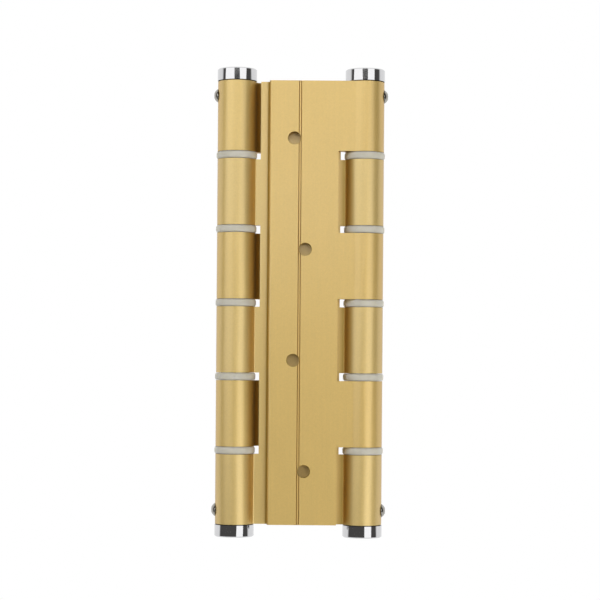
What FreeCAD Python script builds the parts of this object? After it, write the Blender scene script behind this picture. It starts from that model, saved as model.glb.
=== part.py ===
"""Double action spring hinge: two leaves, a centre link and a sprung pivot in each barrel.

Millimetres. Z is up along both pivots, X runs from the jamb barrel (left) to the door
barrel (right), and -Y faces the viewer. The origin lies midway between the pivots.
"""

import FreeCAD, Part
import math
import os
import re

import Sketcher

KNUCKLES = 6
LEAF_KNUCKLES = KNUCKLES // 2
HOLES_PER_LEAF = 4

SIZES = (
    ("hinge_height", 180, "height of the leaves and barrels"),
    ("axis_spacing", 52.2, "between the two pivots"),
    ("barrel_d", 15.7, "knuckle outside"),
    ("bore_d", 12, "knuckle bore"),
    ("knuckle_gap", 3.2, "room for a washer between two knuckles"),
    ("link_t", 4, "plate of the centre link"),
    ("plate_gap", 0.3, "between folded plates"),
    ("face_recess", 1, "leaf's face behind the front of its barrel"),
    ("leaf_notch_clear", 2.9, "from a barrel to the leaf's notch round it"),
    ("link_notch_clear", 1.95, "from a barrel to the link's notch round it"),
    ("edge_clear", 5.5, "from a barrel to the other leaf's free edge"),
    ("junction_r", 4, "soft hollow where the face runs into the barrel"),
    ("leaf_root_r", 2.6, "fillet where a leaf's inner side meets its barrel"),
    ("link_root_r", 0.8, "fillet where the link's plate meets a barrel"),
    ("face_edge_r", 1.2, "rounding of a leaf's free edge, at its face"),
    ("inner_edge_r", 0.5, "rounding of a leaf's free edge, at its inner side"),
    ("line_offset", 0.27, "scribed lines towards the free edge, from midway"),
    ("line_pitch", 0.84, "between the two scribed lines"),
    ("line_w", 0.34, "width of a scribed line"),
    ("line_depth", 0.5, "depth of a scribed line"),
    ("hole_d", 5.1, "fixing hole"),
    ("sink_d", 9.8, "countersink, on the inner side"),
    ("hole_zigzag", 2.35, "fixing hole's offset from the scribed lines"),
    ("hole_drop", 0.8, "fixing holes below an even spacing"),
    ("washer_rim", 0.4, "how far a washer stands out of the barrel"),
    ("washer_ease_x", 0.45, "eased edge of a washer, along its face"),
    ("washer_ease_z", 0.7, "eased edge of a washer, down its side"),
    ("washer_clear", 0.15, "beside each face of a washer"),
    ("cap_rim", 0.2, "how far a plug's head stands out of the barrel"),
    ("cap_h", 5.2, "height of the head"),
    ("cap_edge", 0.4, "eased edge of the head"),
    ("land_rim", 1.2, "land under the head, outside the bore"),
    ("land_h", 0.35, "height of the land, which keeps the head off the barrel"),
    ("stem_len", 15, "stem of a plug inside the barrel"),
    ("fit_clear", 0.05, "radial clearance in the bore"),
    ("key_af", 6, "key socket across flats"),
    ("key_depth", 4.4, "depth of the key socket"),
    ("tube_wall", 0.9, "wall of the pivot tube"),
    ("tube_end_gap", 0.2, "between the tube and a plug"),
    ("wire_d", 2.4, "spring wire"),
    ("coil_clear", 0.35, "between the coil and the tube"),
    ("coil_end_gap", 0.6, "between the coil and a plug"),
    ("tang_d", 2.2, "dressed end of the spring wire"),
    ("tang_len", 5, "end of the wire inside a plug"),
    ("tang_clear", 0.2, "round the end of the wire"),
    ("screw_inset", 5.6, "lock screw from the end of the barrel"),
    ("screw_d", 3, "lock screw shank"),
    ("screw_len", 5.5, "lock screw under its head"),
    ("screw_clear", 0.1, "round the shank"),
    ("head_d", 5.5, "lock screw's domed head"),
    ("head_h", 1.65, "height of the head"),
    ("driver_af", 2, "lock screw's socket across flats"),
    ("driver_depth", 1, "depth of that socket"),
    ("sink_angle", 90, "countersink's full angle, in degrees"),
)

DERIVED = (
    ("half_height", "hinge_height / 2"),
    ("pivot_x", "axis_spacing / 2"),
    ("barrel_r", "barrel_d / 2"),
    ("pitch", "hinge_height / %d" % KNUCKLES),
    ("notch_height", "pitch + knuckle_gap"),
    ("leaf_notch_reach", "barrel_r + leaf_notch_clear"),
    ("link_notch_reach", "barrel_r + link_notch_clear"),
    ("link_face", "link_t / 2"),
    ("leaf_inner", "link_face + plate_gap"),
    ("leaf_outer", "barrel_r - face_recess"),
    ("free_edge_x", "barrel_r + edge_clear - pivot_x"),
    ("hole_pitch", "hinge_height / %d" % HOLES_PER_LEAF),
    ("stem_r", "bore_d / 2 - fit_clear"),
    ("tube_bore_r", "stem_r - tube_wall"),
    ("coil_r", "tube_bore_r - coil_clear"),
    ("coil_mean_r", "coil_r - wire_d / 2"),
    ("coil_half", "half_height - stem_len - coil_end_gap"),
    ("lock_hole_r", "screw_d / 2 + screw_clear"),
    ("dome_r", "(head_d ^ 2 / 4 + head_h ^ 2) / (2 * head_h)"),
    ("washer_t", "knuckle_gap - 2 * washer_clear"),
    ("washer_r", "barrel_r + washer_rim"),
    ("cap_r", "barrel_r + cap_rim"),
    ("land_r", "bore_d / 2 + land_rim"),
)

SHEET_NAMES = {alias: "Sizes." + alias for alias, *_ in SIZES + DERIVED}

UP = FreeCAD.Vector(0, 0, 1)
AXES = {"x": -1, "y": -2}
POINT = {"start": 1, "end": 2, "centre": 3}
ORIGIN_POINT = (AXES["x"], POINT["start"])

doc = FreeCAD.newDocument("cafe_hinge")
sheet = doc.addObject("Spreadsheet::Sheet", "Sizes")


def fill_sheet():
    """Write the driving sizes and the sizes worked out from them."""
    for row, (alias, size, note) in enumerate(SIZES, start=1):
        sheet.set("A%d" % row, str(size))
        sheet.setAlias("A%d" % row, alias)
        sheet.set("B%d" % row, note)
    for row, (alias, formula) in enumerate(DERIVED, start=1):
        sheet.set("C%d" % row, "=" + formula)
        sheet.setAlias("C%d" % row, alias)
    doc.recompute()


def bound(expression):
    """The expression with each size's alias pointing into the sheet."""
    return re.sub("[a-z_]+", lambda word: SHEET_NAMES.get(word[0], word[0]), expression)


def value(expression):
    return float(sheet.evalExpression(bound(expression)))


def bind(thing, prop, expression):
    thing.setExpression(prop, bound(expression))


def new_body(label):
    body = doc.addObject("PartDesign::Body", label)
    body.Label = label
    return body


def place(body, x="0", z="0", axis=UP, angle=0):
    """Stand a finished body at its place, turned about the given axis."""
    body.Placement = FreeCAD.Placement(FreeCAD.Vector(), FreeCAD.Rotation(axis, angle))
    bind(body, "Placement.Base.x", x)
    bind(body, "Placement.Base.z", z)


def new_sketch(body, plane, offset=None):
    """A sketch on one of the body's origin planes, or parallel to it at an offset."""
    sketch = body.newObject("Sketcher::SketchObject", "outline")
    planes = [o for o in body.Origin.OriginFeatures if o.Name.startswith(plane + "_Plane")]
    sketch.AttachmentSupport = (planes[0], [""])
    sketch.MapMode = "FlatFace"
    if offset:
        bind(sketch, "AttachmentOffset.Base.z", offset)
    return sketch


def fix_point(sketch, edge, end, x, y):
    """Tie one point of an edge to the sheet, measured from the sketch's origin."""
    rules = (("DistanceX", AXES["y"], x), ("DistanceY", AXES["x"], y))
    for kind, across, expression in rules:
        at = POINT[end]
        if expression == "0":
            sketch.addConstraint(Sketcher.Constraint("PointOnObject", edge, at, across))
            continue
        rule = Sketcher.Constraint(kind, *ORIGIN_POINT, edge, at, value(expression))
        index = sketch.addConstraint(rule)
        bind(sketch, "Constraints[%d]" % index, expression)


def fix_radius(sketch, edge, radius):
    index = sketch.addConstraint(Sketcher.Constraint("Radius", edge, value(radius)))
    bind(sketch, "Constraints[%d]" % index, radius)


def arc_between(first, last, radius, clockwise, long_way):
    """An arc from first to last; a clockwise one is drawn from its other end."""
    if clockwise:
        first, last = last, first
    chord = last - first
    rise = math.sqrt(max(radius ** 2 - chord.Length ** 2 / 4, 0))
    side = FreeCAD.Vector(-chord.y, chord.x, 0).normalize()
    centre = (first + last) * 0.5 + side * (-rise if long_way else rise)
    angles = [math.atan2(p.y - centre.y, p.x - centre.x) for p in (first, last)]
    if angles[1] < angles[0]:
        angles[1] += 2 * math.pi
    return Part.ArcOfCircle(Part.Circle(centre, UP, radius), *angles)


def draw(sketch, corners):
    """A closed outline. Each corner gives x, y and, before an arc, its radius and turn."""
    points = [FreeCAD.Vector(value(x), value(y), 0) for x, y, *_ in corners]
    edges = []
    for i, (x, y, *arc) in enumerate(corners):
        first, last = points[i], points[(i + 1) % len(points)]
        ends = ("start", "end")
        if arc:
            radius, turn = arc
            clockwise = turn == "clockwise"
            shape = arc_between(first, last, value(radius), clockwise, turn == "long way")
            ends = ends[::-1] if clockwise else ends
        else:
            shape = Part.LineSegment(first, last)
        edges.append((sketch.addGeometry(shape), *ends))
    for i, (edge, first_end, last_end) in enumerate(edges):
        following, following_end, _ = edges[(i + 1) % len(edges)]
        meeting = (edge, POINT[last_end], following, POINT[following_end])
        sketch.addConstraint(Sketcher.Constraint("Coincident", *meeting))
    for (edge, first_end, _), (x, y, *arc) in zip(edges, corners):
        fix_point(sketch, edge, first_end, x, y)
        if arc:
            fix_radius(sketch, edge, arc[0])


def draw_circle(sketch, x, y, radius):
    middle = FreeCAD.Vector(value(x), value(y), 0)
    edge = sketch.addGeometry(Part.Circle(middle, UP, value(radius)))
    fix_point(sketch, edge, "centre", x, y)
    fix_radius(sketch, edge, radius)


def draw_hexagon(sketch, across_flats):
    """A hexagon round the sketch's origin, with two flats facing up and down."""
    far = across_flats + " / sqrt(3)"
    near = far + " / 2"
    up = across_flats + " / 2"
    draw(sketch, (
        (far, "0"), (near, up), ("0 - " + near, up),
        ("0 - " + far, "0"), ("0 - " + near, "0 - " + up), (near, "0 - " + up),
    ))


def pad(body, sketch, length, symmetric=False):
    feature = body.newObject("PartDesign::Pad", "pad")
    feature.Profile = sketch
    feature.SideType = "Symmetric" if symmetric else "One side"
    bind(feature, "Length", length)
    doc.recompute()
    return feature


def pocket(body, sketch, length=None, symmetric=False, along_normal=False):
    """Cut a sketch into the body, right through it where no length is given."""
    feature = body.newObject("PartDesign::Pocket", "pocket")
    feature.Profile = sketch
    feature.SideType = "Symmetric" if symmetric else "One side"
    feature.Reversed = along_normal
    if length:
        bind(feature, "Length", length)
    else:
        feature.Type = "ThroughAll"
    doc.recompute()
    return feature


def revolve(body, sketch):
    feature = body.newObject("PartDesign::Revolution", "turned")
    feature.Profile = sketch
    feature.ReferenceAxis = (sketch, ["V_Axis"])
    feature.Angle = 360
    doc.recompute()
    return feature


def repeat_down(body, feature):
    """Repeat a notch at every second knuckle below the first."""
    pattern = body.newObject("PartDesign::LinearPattern", "row")
    pattern.Originals = [feature]
    axes = [o for o in body.Origin.OriginFeatures if o.Name.startswith("Z_Axis")]
    pattern.Direction = (axes[0], [""])
    pattern.Reversed = True
    body.Tip = pattern
    pattern.Occurrences = LEAF_KNUCKLES
    bind(pattern, "Length", "pitch * %d" % (KNUCKLES - 2))
    doc.recompute()


def tangent(plate_side, fillet):
    """Where a fillet leaves a plate's side and where it reaches the barrel.

    The first value is along the plate, the next two are on the barrel, all from the pivot.
    """
    along = "sqrt((barrel_r + %s) ^ 2 - (%s) ^ 2)" % (fillet, plate_side)
    share = "barrel_r / (barrel_r + %s)" % fillet
    return along, "%s * %s" % (share, along), "%s * (%s)" % (share, plate_side)


def scribed_line(x, face):
    """The three corners of one fine vee in the leaf's face."""
    half = "line_w / 2"
    return (
        ("%s - %s" % (x, half), face),
        (x, face + " + line_depth"),
        ("%s + %s" % (x, half), face),
    )


def leaf_section(sketch):
    """The door leaf's extruded section, with its free edge on the left."""
    face, inner = "0 - leaf_outer", "0 - leaf_inner"
    hollow_x, hollow_bx, hollow_by = tangent("leaf_outer + junction_r", "junction_r")
    root_x, root_bx, root_by = tangent("leaf_inner - leaf_root_r", "leaf_root_r")
    draw(sketch, (
        ("free_edge_x + face_edge_r", face),
        *scribed_line("0 - line_offset - line_pitch / 2", face),
        *scribed_line("line_pitch / 2 - line_offset", face),
        ("pivot_x - " + hollow_x, face, "junction_r", "clockwise"),
        ("pivot_x - " + hollow_bx, "0 - " + hollow_by, "barrel_r", "long way"),
        ("pivot_x - " + root_bx, "0 - " + root_by, "leaf_root_r", "clockwise"),
        ("pivot_x - " + root_x, inner),
        ("free_edge_x + inner_edge_r", inner, "inner_edge_r", "anticlockwise"),
        ("free_edge_x", inner + " - inner_edge_r"),
        ("free_edge_x", face + " + face_edge_r", "face_edge_r", "anticlockwise"),
    ))
    draw_circle(sketch, "pivot_x", "0", "bore_d / 2")


def link_section(sketch):
    """The centre link's extruded section: one plate between two barrels."""
    face = "link_face"
    root_x, root_bx, root_by = tangent("link_face + link_root_r", "link_root_r")
    draw(sketch, (
        (root_x + " - pivot_x", "0 - " + face),
        ("pivot_x - " + root_x, "0 - " + face, "link_root_r", "clockwise"),
        ("pivot_x - " + root_bx, "0 - " + root_by, "barrel_r", "long way"),
        ("pivot_x - " + root_bx, root_by, "link_root_r", "clockwise"),
        ("pivot_x - " + root_x, face),
        (root_x + " - pivot_x", face, "link_root_r", "clockwise"),
        (root_bx + " - pivot_x", root_by, "barrel_r", "long way"),
        (root_bx + " - pivot_x", "0 - " + root_by, "link_root_r", "clockwise"),
    ))
    for side in ("pivot_x", "0 - pivot_x"):
        draw_circle(sketch, side, "0", "bore_d / 2")


def notch(sketch, side, reach, top):
    """The room round one knuckle of the other piece, on the side given by its sign."""
    inner = "%s * (pivot_x - %s)" % (side, reach)
    outer = "%s * (pivot_x + %s)" % (side, reach)
    low = top + " - notch_height"
    corners = ((inner, low), (outer, low), (outer, top), (inner, top))
    draw(sketch, corners if side == "1" else corners[::-1])


def drill_for_screw(body, x, z, outward):
    """The lock screw's hole through the outer wall of a barrel."""
    sketch = new_sketch(body, "YZ", x)
    draw_circle(sketch, "0", z, "lock_hole_r")
    pocket(body, sketch, "barrel_d", along_normal=outward)


def drill_fixing_holes(body):
    """Four countersunk holes that zigzag about the scribed lines, sunk from inside."""
    sketch = new_sketch(body, "XZ", "leaf_inner")
    for i in range(HOLES_PER_LEAF):
        x = "%s hole_zigzag - line_offset" % ("0 -" if i % 2 == 0 else "")
        z = "half_height - hole_drop - hole_pitch * %.1f" % (i + 0.5)
        draw_circle(sketch, x, z, "hole_d / 2")
    doc.recompute()
    hole = body.newObject("PartDesign::Hole", "fixing_holes")
    hole.Profile = sketch
    hole.Reversed = True
    hole.DepthType = "ThroughAll"
    hole.DrillPoint = "Flat"
    hole.HoleCutType = "Countersink"
    hole.HoleCutCustomValues = True
    bind(hole, "Diameter", "hole_d")
    bind(hole, "HoleCutDiameter", "sink_d")
    bind(hole, "HoleCutCountersinkAngle", "sink_angle")
    doc.recompute()


def leaf(label, turn):
    """One leaf: extruded, notched for the link's knuckles, then drilled."""
    body = new_body(label)
    section = new_sketch(body, "XY")
    leaf_section(section)
    pad(body, section, "hinge_height", symmetric=True)
    cut = new_sketch(body, "XZ")
    notch(cut, "1", "leaf_notch_reach", "half_height - pitch + knuckle_gap / 2")
    repeat_down(body, pocket(body, cut, symmetric=True))
    drill_for_screw(body, "pivot_x", "half_height - screw_inset", outward=True)
    drill_fixing_holes(body)
    place(body, angle=turn)
    return body


def centre_link():
    """The link: extruded, then notched on both sides for the leaves' knuckles."""
    body = new_body("centre_link")
    section = new_sketch(body, "XY")
    link_section(section)
    pad(body, section, "hinge_height", symmetric=True)
    cut = new_sketch(body, "XZ")
    for side in ("1", "-1"):
        notch(cut, side, "link_notch_reach", "half_height + knuckle_gap / 2")
    repeat_down(body, pocket(body, cut, symmetric=True))
    drill_for_screw(body, "pivot_x", "screw_inset - half_height", outward=True)
    drill_for_screw(body, "0 - pivot_x", "screw_inset - half_height", outward=False)
    return body


def plug(label):
    """A chrome cap on a land and a stem, with a key socket, lock holes and a spring hole."""
    body = new_body(label)
    side = new_sketch(body, "XZ")
    draw(side, (
        ("0", "0 - stem_len"),
        ("stem_r", "0 - stem_len"),
        ("stem_r", "0"),
        ("land_r", "0"),
        ("land_r", "land_h"),
        ("cap_r", "land_h"),
        ("cap_r", "cap_h - cap_edge"),
        ("cap_r - cap_edge", "cap_h"),
        ("0", "cap_h"),
    ))
    revolve(body, side)
    socket = new_sketch(body, "XY", "cap_h")
    draw_hexagon(socket, "key_af")
    pocket(body, socket, "key_depth")
    for plane in ("XZ", "YZ"):
        lock_hole = new_sketch(body, plane)
        draw_circle(lock_hole, "0", "0 - screw_inset", "lock_hole_r")
        pocket(body, lock_hole, symmetric=True)
    tang_hole = new_sketch(body, "XY", "0 - stem_len")
    draw_circle(tang_hole, "coil_mean_r", "0", "tang_d / 2 + tang_clear")
    pocket(body, tang_hole, "tang_len + tang_clear", along_normal=True)
    return body


def lock_screw(label):
    """A domed screw that stands on Z, with the seat of its head at the origin."""
    body = new_body(label)
    side = new_sketch(body, "XZ")
    draw(side, (
        ("0", "0 - screw_len"),
        ("screw_d / 2", "0 - screw_len"),
        ("screw_d / 2", "0"),
        ("head_d / 2", "0", "dome_r", "anticlockwise"),
        ("0", "head_h"),
    ))
    revolve(body, side)
    socket = new_sketch(body, "XY", "head_h")
    draw_hexagon(socket, "driver_af")
    pocket(body, socket, "driver_depth")
    return body


def washer(label):
    """A flat ring with its outer edges eased, centred on the origin."""
    body = new_body(label)
    side = new_sketch(body, "XZ")
    shoulder = "washer_r - washer_ease_x"
    face = "washer_t / 2"
    brow = "washer_t / 2 - washer_ease_z"
    draw(side, (
        ("bore_d / 2", "0 - " + face),
        (shoulder, "0 - " + face),
        ("washer_r", "0 - (%s)" % brow),
        ("washer_r", brow),
        (shoulder, face),
        ("bore_d / 2", face),
    ))
    revolve(body, side)
    return body


def pivot_tube(label):
    """The tube that carries a barrel's knuckles, between the stems of its two plugs."""
    body = new_body(label)
    section = new_sketch(body, "XY")
    draw_circle(section, "0", "0", "stem_r")
    draw_circle(section, "0", "0", "tube_bore_r")
    pad(body, section, "hinge_height - 2 * (stem_len + tube_end_gap)", symmetric=True)
    return body


def torsion_spring(label):
    """A close-wound coil drawn as one sleeve, with a straight tang at each end."""
    body = new_body(label)
    side = new_sketch(body, "XZ")
    draw(side, (
        ("coil_r - wire_d", "0 - coil_half"),
        ("coil_r", "0 - coil_half"),
        ("coil_r", "coil_half"),
        ("coil_r - wire_d", "coil_half"),
    ))
    revolve(body, side)
    for offset, downward in (("coil_half", False), ("0 - coil_half", True)):
        end = new_sketch(body, "XY", offset)
        draw_circle(end, "coil_mean_r", "0", "tang_d / 2")
        tang = pad(body, end, "coil_end_gap + tang_len")
        tang.Reversed = downward
        doc.recompute()
    return body


def barrel_fittings(side, pivot, outward, leaf_screw):
    """Everything that goes into one barrel, from the top down."""
    made = []
    tension = plug(side + "_tension_plug")
    place(tension, pivot, "half_height")
    anchor = plug(side + "_anchor_plug")
    place(anchor, pivot, "0 - half_height", FreeCAD.Vector(1, 0, 0), 180)
    made += [tension, anchor]
    wall = "%s %s barrel_r" % (pivot, "+" if outward > 0 else "-")
    heights = ((leaf_screw, "half_height - screw_inset"),
               (side + "_link_lock_screw", "screw_inset - half_height"))
    for label, height in heights:
        screw = lock_screw(label)
        place(screw, wall, height, FreeCAD.Vector(0, 1, 0), 90 * outward)
        made.append(screw)
    for number in range(1, KNUCKLES):
        ring = washer("%s_washer_%d" % (side, number))
        place(ring, pivot, "half_height - pitch * %d" % number)
        made.append(ring)
    for inner in (pivot_tube(side + "_pivot_tube"), torsion_spring(side + "_torsion_spring")):
        place(inner, pivot)
        made.append(inner)
    return made


def write_parts(bodies):
    """Check every object of the document, then write one file per piece."""
    doc.recompute()
    for thing in doc.Objects:
        if {"Invalid", "Error"} & set(thing.State):
            raise RuntimeError("%s did not compute: %s" % (thing.Name, thing.State))
    os.makedirs("parts", exist_ok=True)
    for body in bodies:
        if not body.Shape.isValid() or len(body.Shape.Solids) != 1:
            raise RuntimeError(body.Label + " is not one valid solid")
        body.Shape.exportStep("parts/%s.step" % body.Label)


fill_sheet()
pieces = [leaf("door_leaf", 0), leaf("jamb_leaf", 180), centre_link()]
pieces += barrel_fittings("left", "0 - pivot_x", -1, "jamb_lock_screw")
pieces += barrel_fittings("right", "pivot_x", 1, "door_lock_screw")
write_parts(pieces)
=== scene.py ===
"""A double action spring hinge in satin gold, with chrome caps and milky washers.

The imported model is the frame. This script gives its pieces their finishes, winds the two
springs as real coils, and sets up the studio and the camera. Everything is in metres.
"""

import math

import bpy
from mathutils import Matrix, Vector


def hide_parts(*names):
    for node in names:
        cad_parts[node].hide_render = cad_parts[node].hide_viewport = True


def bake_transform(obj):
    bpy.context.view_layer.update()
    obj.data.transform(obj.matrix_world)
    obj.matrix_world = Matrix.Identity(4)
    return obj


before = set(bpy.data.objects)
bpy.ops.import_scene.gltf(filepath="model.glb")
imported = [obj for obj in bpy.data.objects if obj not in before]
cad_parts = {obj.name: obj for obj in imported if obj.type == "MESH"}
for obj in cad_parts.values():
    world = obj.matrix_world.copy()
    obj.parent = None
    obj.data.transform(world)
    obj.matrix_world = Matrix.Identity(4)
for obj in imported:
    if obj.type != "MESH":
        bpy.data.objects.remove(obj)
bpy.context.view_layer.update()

SIDES = {"left": -1, "right": 1}
WASHERS = 5
PIVOT_X = 0.0261
BARREL_R = 0.00785

# Just past the caps' undersides, above and below the middle.
CAP_UNDERSIDE_Z = 0.09037

# Spring wire, as wound: close turns on a mean radius, bent to a straight tang at each end.
COIL_MEAN_R = 0.0035
WIRE_R = 0.0012
TANG_R = 0.0011
BEND_R = 0.0015
COIL_TURNS = 60
POINTS_PER_TURN = 20
POINTS_PER_BEND = 6
WIRE_SIDES = 10
LOWEST_TURN_Z = -0.0732
TANG_END_Z = 0.08

# Each extrusion came out of its own bath, so the three golds differ by a shade.
GOLD_SHADES = {
    "jamb_leaf": (0.783, 0.576, 0.206),
    "centre_link": (0.775, 0.580, 0.222),
    "door_leaf": (0.772, 0.553, 0.187),
}
# The grain goes from the shade times the first number to the shade times the second.
GOLD_SPREAD = (0.84, 1.16)
GOLD_GLANCING_TINT = (0.38, 0.22, 0.14)
ANODISED_COAT = 0.8

# Painted shade: the gold is darkened in its inner corners, where shade falls,
# to this much of its red, green and blue.
PAINTED_SHADE_TONE = (0.5, 0.43, 0.22)
# Each painted shade sets in over the first span and ends over the second.
# On the link, across the front: a painted shadow line where a leaf's free edge lies,
# and painted shade beside the far barrel.
EDGE_SHADOW_LINE = ((-0.0138, -0.0132), (-0.0127, -0.0122))
RECESS_SHADE = ((0.0153, 0.0183), (0.0178, 0.0186))
BARREL_FLANK_SHADE = ((0.0184, 0.0194), (0.0200, 0.0222))
FLANK_SHADE_STRENGTH = 0.5
# Painted shade on a leaf, from its pivot towards the middle, and not on its outer face.
BARREL_ROOT_SHADE = ((0.0050, 0.0080), (0.0098, 0.0106))
ROOT_SHADE_STRENGTH = 0.55
TOWARDS_OUTER_FACE = (0.003, 0.005)
# The side that a leaf's outer face is on, along Y.
LEAF_OUTWARD = {"jamb_leaf": 1.0, "door_leaf": -1.0}

# Fixing holes: places on the door leaf, across and up, and a radius just past their walls,
# within which the hole is painted in shade.
FIXING_HOLES = (
    (-0.00262, 0.0667), (0.00208, 0.0217), (-0.00262, -0.0233), (0.00208, -0.0683),
)
HOLE_SHADE_R = 0.00265

# Marks on the surfaces, as noise: its scale, detail and roughness.
STREAKS = (2400.0, 4.0, 0.65)
GRAIN = (1500.0, 3.0, 0.6)
CLOUDS = (70.0, 3.0, 0.5)
SMUDGES = (260.0, 4.0, 0.6)
TURNING_RINGS = (3800.0, 2.0, 0.5)
FLOW_MARKS = (420.0, 3.0, 0.6)
SPECKS = (3600.0, 2.0, 0.5)
PAPER_FIBRES = (900.0, 3.0, 0.5)
# How streaks are drawn out along the extrusion, and rings round a turned piece.
ALONG_EXTRUSION = (1.0, 1.0, 1.0 / 60.0)
ROUND_THE_PIECE = (0.02, 0.02, 1.0)

# The darkest and lightest tone of a finish.
BRIGHT_CHROME = ((0.615, 0.615, 0.625), (0.665, 0.665, 0.675))
# Painted shadow: the near black of the caps' undersides, in the gap under each cap.
PAINTED_SHADOW_CHROME = ((0.045, 0.04, 0.03), (0.085, 0.075, 0.058))
NYLON = ((0.58, 0.555, 0.465), (0.695, 0.665, 0.56))
FLOOR_PAPER = ((0.74, 0.74, 0.74), (0.78, 0.78, 0.78))
# The steels: darkest and lightest tone, least roughness, and the scale of their marks.
STEELS = {
    "nickel_plated_screw": ((0.30, 0.29, 0.26), (0.44, 0.42, 0.39), 0.08, 900.0),
    "ground_tube": ((0.42, 0.42, 0.43), (0.58, 0.58, 0.6), 0.22, 1400.0),
    "oil_tempered_wire": ((0.10, 0.10, 0.11), (0.22, 0.22, 0.23), 0.30, 1100.0),
}

# Shading: edges flatter than this are drawn smooth.
SOFT_EDGE = math.radians(34)
WELD_DISTANCE = 2e-6

# Studio panels: azimuth in degrees, distance, height, tilt in degrees, size and radiance.
STUDIO_PANELS = {
    "left_soft_box": (-43.0, 1.2, 0.165, 0.0, (1.22, 0.57), 1.32),
    "upper_left_soft_box": (-43.0, 1.2, 0.78, 0.0, (1.22, 0.66), 1.9),
    "right_soft_box": (34.0, 1.2, -0.27, 0.0, (0.87, 1.26), 1.32),
    "low_right_soft_box": (50.0, 1.0, -0.62, -28.0, (1.3, 0.5), 1.25),
    "front_strip_light": (-2.0, 1.1, 0.36, 12.0, (0.5, 0.18), 1.6),
    "narrow_strip_light": (-2.0, 1.1, 0.13, 4.0, (0.3, 0.06), 5.1),
    "overhead_soft_box": (12.0, 1.0, 0.75, 37.0, (0.42, 0.5), 4.0),
}

# The room: dim on the camera's side, with a backdrop that is lighter towards the floor.
WHITE = (1.0, 1.0, 1.0, 1.0)
DIM_ROOM = (0.085, 0.082, 0.08, 1.0)
BACKDROP_LOW = (1.3, 1.3, 1.3, 1.0)
BACKDROP_HIGH = (0.74, 0.74, 0.74, 1.0)
ROOM_TO_BACKDROP = (-0.12, 0.2)
LOW_TO_HIGH = (-0.15, 0.2)
FLOOR_Z = -1.0
FLOOR_HALF = 1.5
FLOOR_CORNERS = ((-1, -1), (1, -1), (1, 1), (-1, 1))

# The camera stands level, a little under the middle of the hinge.
CAMERA_DISTANCE = 0.8
CAMERA_X = 0.0003
CAMERA_Z = -0.0226
CAMERA_ROLL = math.radians(0.43)
FRAME_PIXELS = 600
PIXELS_PER_METRE = 2450.0
SENSOR_MM = 36.0
HORIZON_PIXEL = 358.6


class Flow:
    """What leaves a node. Arithmetic on it adds Math nodes to the same tree."""

    def __init__(self, tree, socket):
        self.tree = tree
        self.socket = socket

    def out(self, name):
        """Another output of the same node."""
        return Flow(self.tree, self.socket.node.outputs[name])

    def math(self, operation, other=0.0):
        return self.tree.math(operation, self, other)

    def __add__(self, other):
        return self.math("ADD", other)

    def __radd__(self, other):
        return self.tree.math("ADD", other, self)

    def __sub__(self, other):
        return self.math("SUBTRACT", other)

    def __rsub__(self, other):
        return self.tree.math("SUBTRACT", other, self)

    def __mul__(self, other):
        return self.math("MULTIPLY", other)

    def __rmul__(self, other):
        return self.tree.math("MULTIPLY", other, self)

    def __truediv__(self, other):
        return self.math("DIVIDE", other)

    def __rtruediv__(self, other):
        return self.tree.math("DIVIDE", other, self)

    def __gt__(self, other):
        return self.math("GREATER_THAN", other)

    def __lt__(self, other):
        return self.math("LESS_THAN", other)

    def __abs__(self):
        return self.math("ABSOLUTE")


class Tree:
    """A node tree, and the one method that adds any node to it."""

    def __init__(self, tree):
        tree.nodes.clear()
        self.nodes = tree.nodes
        self.links = tree.links

    def add(self, kind, settings=None, inputs=None, output=0):
        node = self.nodes.new(kind)
        for name, setting in (settings or {}).items():
            setattr(node, name, setting)
        for key, value in (inputs or {}).items():
            if isinstance(value, Flow):
                self.links.new(value.socket, node.inputs[key])
            else:
                node.inputs[key].default_value = value
        return Flow(self, node.outputs[output]) if len(node.outputs) else None

    def math(self, operation, first, second=0.0):
        return self.add("ShaderNodeMath", {"operation": operation}, {0: first, 1: second})

    def split(self, vector):
        """The X, Y and Z of a vector."""
        parts = self.add("ShaderNodeSeparateXYZ", None, {"Vector": vector})
        return tuple(parts.out(axis) for axis in "XYZ")

    def blend(self, factor, first, second):
        """A colour between two colours."""
        sockets = {0: factor, 6: first, 7: second}
        return self.add("ShaderNodeMix", {"data_type": "RGBA"}, sockets, 2)

    def tones(self, factor, darkest_and_lightest):
        """A colour between the two tones of a finish."""
        darkest, lightest = darkest_and_lightest
        return self.blend(factor, rgb(*darkest), rgb(*lightest))

    def ramp(self, value, low, high, first=0.0, last=1.0, blending="LINEAR"):
        """A value that goes from first to last between low and high, and stays there beyond."""
        return self.add("ShaderNodeMapRange", {"interpolation_type": blending}, {
            "Value": value, "From Min": low, "From Max": high, "To Min": first, "To Max": last,
        })

    def band(self, value, rise, fall):
        """One between two slopes, and nought outside them."""
        return self.ramp(value, *rise) * (1.0 - self.ramp(value, *fall))

    def stretch(self, where, scale):
        """Coordinates that draw a pattern out along the axes with a small scale."""
        return self.add("ShaderNodeMapping", None, {"Vector": where, "Scale": scale})

    def noise(self, where, scale, detail, roughness):
        sockets = {"Vector": where, "Scale": scale, "Detail": detail, "Roughness": roughness}
        return self.add("ShaderNodeTexNoise", None, sockets, "Fac")

    def bump(self, height, strength, distance):
        sockets = {"Strength": strength, "Distance": distance, "Height": height}
        return self.add("ShaderNodeBump", None, sockets)

    def end_in_principled(self, sockets):
        shader = self.add("ShaderNodeBsdfPrincipled", None, sockets)
        self.add("ShaderNodeOutputMaterial", None, {"Surface": shader})


def rgb(red, green, blue):
    return (red, green, blue, 1.0)


def new_material(name):
    """A material, its empty tree, and the coordinates that its patterns follow."""
    material = bpy.data.materials.new(name)
    material.use_nodes = True
    tree = Tree(material.node_tree)
    return material, tree, tree.add("ShaderNodeTexCoord", output="Object")


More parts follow.
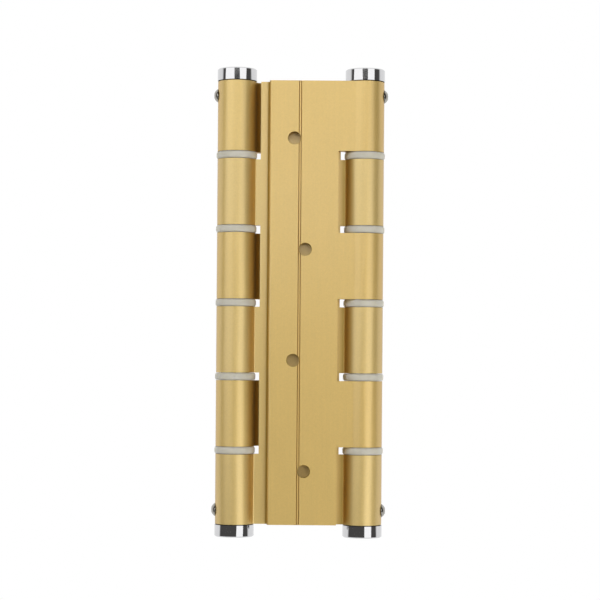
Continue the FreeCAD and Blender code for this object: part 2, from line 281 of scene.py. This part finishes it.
def link_painted_shade(tree, where):
    """Painted shade where a leaf's free edge lies on the link and in the recess by the far
    barrel.

    The back is the front turned half round.
    """
    across, depth = tree.split(where)[:2]
    across = across * depth.math("SIGN") * -1.0
    line_and_recess = tree.band(across, *EDGE_SHADOW_LINE) + tree.band(across, *RECESS_SHADE)
    return line_and_recess + tree.band(across, *BARREL_FLANK_SHADE) * FLANK_SHADE_STRENGTH


def leaf_painted_shade(tree, where, outward):
    """Painted shade at the root of a leaf's barrel, on the leaf's inner side, and in its holes.
    """
    across, depth, height = tree.split(where)
    inside = 1.0 - tree.ramp(depth * outward, *TOWARDS_OUTER_FACE)
    root = tree.band(PIVOT_X - abs(across), *BARREL_ROOT_SHADE) * inside
    walls = []
    for hole_x, hole_z in FIXING_HOLES:
        aside = across + hole_x * outward
        above = height - hole_z
        walls.append(aside * aside + above * above < HOLE_SHADE_R ** 2)
    return root * ROOT_SHADE_STRENGTH + sum(walls)


def satin_gold(piece_name):
    """Gold anodised aluminium: extruded, so its fine grain runs along Z."""
    material, tree, where = new_material(piece_name + "_gold")
    shade = GOLD_SHADES[piece_name]
    if piece_name in LEAF_OUTWARD:
        corners = leaf_painted_shade(tree, where, LEAF_OUTWARD[piece_name])
    else:
        corners = link_painted_shade(tree, where)
    streaks = tree.noise(tree.stretch(where, ALONG_EXTRUSION), *STREAKS)
    grain = tree.noise(where, *GRAIN)
    clouds = tree.noise(where, *CLOUDS)
    tone = streaks * 0.35 + grain * 0.5 + clouds * 0.15
    gold = tree.tones(tone, [[part * amount for part in shade] for amount in GOLD_SPREAD])
    # Painted shade: where corners is one, the gold takes the darker colour and loses its coat.
    painted_shade_colour = rgb(*(part * amount for part, amount in zip(shade, PAINTED_SHADE_TONE)))
    tree.end_in_principled({
        "Base Color": tree.blend(corners, gold, painted_shade_colour),
        "Metallic": 1.0,
        "Roughness": 0.47 + streaks * 0.08 + grain * 0.04,
        "Normal": tree.bump(streaks * 0.6 + grain * 0.4, 0.12, 0.00002),
        "Specular Tint": rgb(*GOLD_GLANCING_TINT),
        "Coat Weight": ANODISED_COAT - corners * ANODISED_COAT,
        "Coat Roughness": 0.26,
        "Coat IOR": 1.7,
    })
    return material


def polished_chrome():
    """Bright chrome with the faint rings of its turning and a few soft smudges.

    Only the cap is polished. Its underside, within the barrel's outline, and the plug
    that goes into the barrel are rougher and painted near black: a painted shadow under the
    cap.
    """
    material, tree, where = new_material("polished_chrome")
    smudges = tree.noise(where, *SMUDGES)
    rings = tree.noise(tree.stretch(where, ROUND_THE_PIECE), *TURNING_RINGS)
    across, depth, height = tree.split(where)
    from_pivot = abs(across) - PIVOT_X
    beyond_barrel = from_pivot * from_pivot + depth * depth > BARREL_R ** 2
    in_cap = abs(height) > CAP_UNDERSIDE_Z
    polished = in_cap.math("MAXIMUM", beyond_barrel)
    bright = tree.tones(smudges, BRIGHT_CHROME)
    # The underside is painted in shadow tones, and it is made rougher.
    painted_shadow = tree.tones(smudges, PAINTED_SHADOW_CHROME)
    tree.end_in_principled({
        "Base Color": tree.blend(polished, painted_shadow, bright),
        "Metallic": 1.0,
        "Roughness": 0.035 + smudges * 0.05 + (1.0 - polished) * 0.5,
        "Normal": tree.bump(rings, 0.03, 0.00001),
    })
    return material


def milky_nylon():
    """Natural nylon: milky, a little waxy, with faint flow marks from the mould."""
    material, tree, where = new_material("milky_nylon")
    flow_marks = tree.noise(where, *FLOW_MARKS)
    specks = tree.noise(where, *SPECKS)
    tree.end_in_principled({
        "Base Color": tree.tones(flow_marks, NYLON),
        "Roughness": 0.36 + flow_marks * 0.12 + specks * 0.05,
        "Normal": tree.bump(specks, 0.15, 0.00003),
        "Subsurface Weight": 1.0,
        "Subsurface Scale": 0.003,
        "Subsurface Radius": (1.0, 1.0, 0.8),
        "IOR": 1.53,
    })
    return material


def worked_steel(name):
    """Plain steel whose tone and gloss vary with the marks of its making."""
    darkest, lightest, least_roughness, scale = STEELS[name]
    material, tree, where = new_material(name)
    marks = tree.noise(where, scale, 4.0, 0.6)
    tree.end_in_principled({
        "Base Color": tree.tones(marks, (darkest, lightest)),
        "Metallic": 1.0,
        "Roughness": least_roughness + marks * 0.16,
        "Normal": tree.bump(marks, 0.08, 0.00002),
    })
    return material


def paint(node_name, material):
    """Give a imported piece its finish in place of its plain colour."""
    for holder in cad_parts[node_name].material_slots:
        holder.material = material


def new_geometry_tree(name, inputs):
    """An empty Geometry Nodes tree with named inputs, and its Group Input's values."""
    group = bpy.data.node_groups.new(name, "GeometryNodeTree")
    for label, kind in inputs:
        group.interface.new_socket(label, in_out="INPUT", socket_type=kind)
    group.interface.new_socket("Geometry", in_out="OUTPUT", socket_type="NodeSocketGeometry")
    tree = Tree(group)
    return group, tree, tree.add("NodeGroupInput")


def set_inputs(modifier, values):
    """Set a modifier's inputs by the sockets' identifiers."""
    for item in modifier.node_group.interface.items_tree:
        if item.item_type == "SOCKET" and item.in_out == "INPUT" and item.name in values:
            modifier[item.identifier] = values[item.name]


def smooth_shading_tree():
    """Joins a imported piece's triangles and shades it smooth up to an edge angle."""
    group, tree, given = new_geometry_tree("smooth_shading", (
        ("Geometry", "NodeSocketGeometry"),
        ("Weld Distance", "NodeSocketFloat"),
        ("Soft Edge", "NodeSocketFloat"),
    ))
    joined = tree.add("GeometryNodeMergeByDistance", None, {
        "Geometry": given.out("Geometry"), "Distance": given.out("Weld Distance"),
    })
    smooth = tree.add("GeometryNodeSetShadeSmooth", {"domain": "FACE"}, {"Geometry": joined})
    crisp = tree.add("GeometryNodeInputMeshEdgeAngle") > given.out("Soft Edge")
    edged = tree.add("GeometryNodeSetShadeSmooth", {"domain": "EDGE"}, {
        "Geometry": smooth, "Selection": crisp, "Shade Smooth": False,
    })
    tree.add("NodeGroupOutput", None, {"Geometry": edged})
    return group


def shade_smooth(node_name, group):
    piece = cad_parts[node_name]
    modifier = piece.modifiers.new("smooth shading", "NODES")
    modifier.node_group = group
    set_inputs(modifier, {"Weld Distance": WELD_DISTANCE, "Soft Edge": SOFT_EDGE})
    evened = piece.modifiers.new("even normals", "WEIGHTED_NORMAL")
    evened.keep_sharp = True


def wound_spring_tree(material):
    """One length of round wire: a tang, a bend, close turns, a bend and a tang.

    Its points are numbered from the lower end, and those nearest either end make the
    tang and the bend there.
    """
    group, tree, given = new_geometry_tree("wound_spring", (
        ("Centre X", "NodeSocketFloat"),
        ("Mean Radius", "NodeSocketFloat"),
        ("Wire Radius", "NodeSocketFloat"),
        ("Tang Radius", "NodeSocketFloat"),
        ("Bend Radius", "NodeSocketFloat"),
        ("Lowest Turn", "NodeSocketFloat"),
        ("Tang End", "NodeSocketFloat"),
        ("Turns", "NodeSocketFloat"),
        ("Points Per Turn", "NodeSocketFloat"),
        ("Points Per Bend", "NodeSocketFloat"),
        ("Wire Sides", "NodeSocketInt"),
    ))
    mean_r = given.out("Mean Radius")
    wire_r = given.out("Wire Radius")
    bend_r = given.out("Bend Radius")
    lowest = given.out("Lowest Turn")
    turns = given.out("Turns")
    first_of_coil = given.out("Points Per Bend") + 1.0
    last_of_coil = first_of_coil + turns * given.out("Points Per Turn")
    last = last_of_coil + first_of_coil

    # Half is -1 below the middle and 1 above it. Bent goes from the tang to the coil.
    number = tree.add("GeometryNodeInputIndex")
    half = (number > last * 0.5) * 2.0 - 1.0
    from_end = number.math("MINIMUM", last - number)
    bent = tree.ramp(from_end, 1.0, first_of_coil)
    wound = tree.ramp(number, first_of_coil, last_of_coil)

    lean = bent * (math.pi / 2)
    bend_turn = bend_r / mean_r
    turn = bend_turn + wound * (turns * math.tau - bend_turn * 2.0)
    turn = turn + half * bend_turn * lean.math("COSINE")
    tang = given.out("Tang End") + lowest - bend_r
    rise = bend_r * (1.0 - lean.math("SINE")) + tang * (from_end < 0.5)
    place = tree.add("ShaderNodeCombineXYZ", None, {
        "X": given.out("Centre X") + mean_r * turn.math("COSINE"),
        "Y": mean_r * turn.math("SINE"),
        "Z": lowest * (1.0 - wound * 2.0) + half * rise,
    })

    line = tree.add("GeometryNodeCurvePrimitiveLine")
    line = tree.add("GeometryNodeResampleCurve", None, {"Curve": line, "Count": last + 1.0})
    line = tree.add("GeometryNodeSetPosition", None, {"Geometry": line, "Position": place})
    section = tree.add("GeometryNodeCurvePrimitiveCircle", None, {
        "Resolution": given.out("Wire Sides"), "Radius": wire_r,
    })
    drawn = tree.ramp(bent, 0.0, 1.0, given.out("Tang Radius") / wire_r, 1.0)
    wire = tree.add("GeometryNodeCurveToMesh", None, {
        "Curve": line, "Profile Curve": section, "Scale": drawn, "Fill Caps": True,
    })
    smooth = tree.add("GeometryNodeSetShadeSmooth", {"domain": "FACE"}, {"Geometry": wire})
    real = tree.add("GeometryNodeRealizeInstances", None, {"Geometry": smooth})
    coloured = tree.add("GeometryNodeSetMaterial", None, {
        "Geometry": real, "Material": material,
    })
    tree.add("NodeGroupOutput", None, {"Geometry": coloured})
    return group


def make_plain_mesh(piece):
    """Turn what the piece's modifiers make into its own mesh."""
    graph = bpy.context.evaluated_depsgraph_get()
    made = bpy.data.meshes.new_from_object(piece.evaluated_get(graph))
    piece.modifiers.clear()
    piece.data = made


def wind_spring(side, group):
    """One barrel's spring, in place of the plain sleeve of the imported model."""
    name = side + "_spring_coil"
    pivot_x = SIDES[side] * PIVOT_X
    piece = bpy.data.objects.new(name, bpy.data.meshes.new(name))
    bpy.context.scene.collection.objects.link(piece)
    modifier = piece.modifiers.new("wound spring", "NODES")
    modifier.node_group = group
    set_inputs(modifier, {
        "Centre X": pivot_x,
        "Mean Radius": COIL_MEAN_R,
        "Wire Radius": WIRE_R,
        "Tang Radius": TANG_R,
        "Bend Radius": BEND_R,
        "Lowest Turn": LOWEST_TURN_Z,
        "Tang End": TANG_END_Z,
        "Turns": float(COIL_TURNS),
        "Points Per Turn": float(POINTS_PER_TURN),
        "Points Per Bend": float(POINTS_PER_BEND),
        "Wire Sides": WIRE_SIDES,
    })
    make_plain_mesh(piece)
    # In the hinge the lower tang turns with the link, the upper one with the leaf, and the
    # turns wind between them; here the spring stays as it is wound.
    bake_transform(piece)
    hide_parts(side + "_torsion_spring")


def dress_pieces():
    """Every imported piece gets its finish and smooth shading."""
    finishes = {piece_name: satin_gold(piece_name) for piece_name in GOLD_SHADES}
    chrome = polished_chrome()
    nylon = milky_nylon()
    plated = worked_steel("nickel_plated_screw")
    ground = worked_steel("ground_tube")
    finishes["jamb_lock_screw"] = plated
    finishes["door_lock_screw"] = plated
    for side in SIDES:
        finishes[side + "_tension_plug"] = chrome
        finishes[side + "_anchor_plug"] = chrome
        finishes[side + "_link_lock_screw"] = plated
        finishes[side + "_pivot_tube"] = ground
        for number in range(1, WASHERS + 1):
            finishes["%s_washer_%d" % (side, number)] = nylon
    smooth = smooth_shading_tree()
    for node_name, material in finishes.items():
        paint(node_name, material)
        shade_smooth(node_name, smooth)


def wind_springs():
    wire = worked_steel("oil_tempered_wire")
    group = wound_spring_tree(wire)
    for side in SIDES:
        paint(side + "_torsion_spring", wire)
        wind_spring(side, group)


def set_panel(name, azimuth, distance, height, tilt, size, radiance):
    """A studio panel round the hinge that faces it, upright or leaning over it.

    Azimuth counts from the camera's side to its right.
    """
    lamp = bpy.data.lights.new(name, "AREA")
    lamp.shape = "RECTANGLE"
    lamp.size, lamp.size_y = size
    lamp.energy = radiance * math.pi * lamp.size * lamp.size_y
    panel = bpy.data.objects.new(name, lamp)
    turn = math.radians(azimuth)
    stand = Vector((math.sin(turn) * distance, -math.cos(turn) * distance, height))
    panel.matrix_world = (
        Matrix.Translation(stand)
        @ Matrix.Rotation(turn, 4, "Z")
        @ Matrix.Rotation(math.radians(90 - tilt), 4, "X")
    )
    bpy.context.scene.collection.objects.link(panel)


def studio_world():
    """White behind the hinge, also in its metal, and a dim room on the camera's side."""
    world = bpy.data.worlds.new("studio")
    world.use_nodes = True
    tree = Tree(world.node_tree)
    direction = tree.add("ShaderNodeTexCoord", output="Generated")
    depth, height = tree.split(direction)[1:]
    behind = tree.ramp(depth, *ROOM_TO_BACKDROP, blending="SMOOTHSTEP")
    backdrop = tree.blend(tree.ramp(height, *LOW_TO_HIGH), BACKDROP_LOW, BACKDROP_HIGH)
    room = tree.blend(behind, DIM_ROOM, backdrop)
    ray = tree.add("ShaderNodeLightPath", output="Is Camera Ray")
    mirrored = (ray.out("Is Glossy Ray") + ray.out("Is Transmission Ray")) * behind
    colour = tree.blend(ray.math("MAXIMUM", mirrored), room, WHITE)
    light = tree.add("ShaderNodeBackground", None, {"Color": colour, "Strength": 1.0})
    tree.add("ShaderNodeOutputWorld", None, {"Surface": light})
    bpy.context.scene.world = world


def pale_floor():
    """A pale studio floor well below the hinge, which hangs where its leaves are fixed."""
    mesh = bpy.data.meshes.new("floor")
    corners = [(x * FLOOR_HALF, y * FLOOR_HALF, FLOOR_Z) for x, y in FLOOR_CORNERS]
    mesh.from_pydata(corners, [], [(0, 1, 2, 3)])
    floor = bpy.data.objects.new("floor", mesh)
    bpy.context.scene.collection.objects.link(floor)
    material, tree, where = new_material("pale_floor")
    colour = tree.tones(tree.noise(where, *PAPER_FIBRES), FLOOR_PAPER)
    paper = tree.add("ShaderNodeBsdfDiffuse", None, {"Color": colour})
    glow = tree.add("ShaderNodeEmission", None, {"Color": WHITE, "Strength": 1.0})
    ray = tree.add("ShaderNodeLightPath", output="Is Camera Ray")
    mirrored = ray.out("Is Glossy Ray") + ray.out("Is Transmission Ray")
    seen = ray.math("MAXIMUM", mirrored)
    surface = tree.add("ShaderNodeMixShader", None, {0: seen, 1: paper, 2: glow})
    tree.add("ShaderNodeOutputMaterial", None, {"Surface": surface})
    mesh.materials.append(material)


def set_camera():
    camera = bpy.data.cameras.new("camera")
    camera.sensor_width = SENSOR_MM
    camera.lens = SENSOR_MM * PIXELS_PER_METRE * CAMERA_DISTANCE / FRAME_PIXELS
    camera.shift_y = (HORIZON_PIXEL - FRAME_PIXELS / 2) / FRAME_PIXELS
    eye = bpy.data.objects.new("camera", camera)
    eye.matrix_world = (
        Matrix.Translation((CAMERA_X, -CAMERA_DISTANCE, CAMERA_Z))
        @ Matrix.Rotation(math.radians(90), 4, "X")
        @ Matrix.Rotation(CAMERA_ROLL, 4, "Z")
    )
    bpy.context.scene.collection.objects.link(eye)
    bpy.context.scene.camera = eye


def set_studio():
    bpy.context.scene.view_settings.view_transform = "Standard"
    for name, setting in STUDIO_PANELS.items():
        set_panel(name, *setting)
    studio_world()
    pale_floor()
    set_camera()


dress_pieces()
wind_springs()
set_studio()
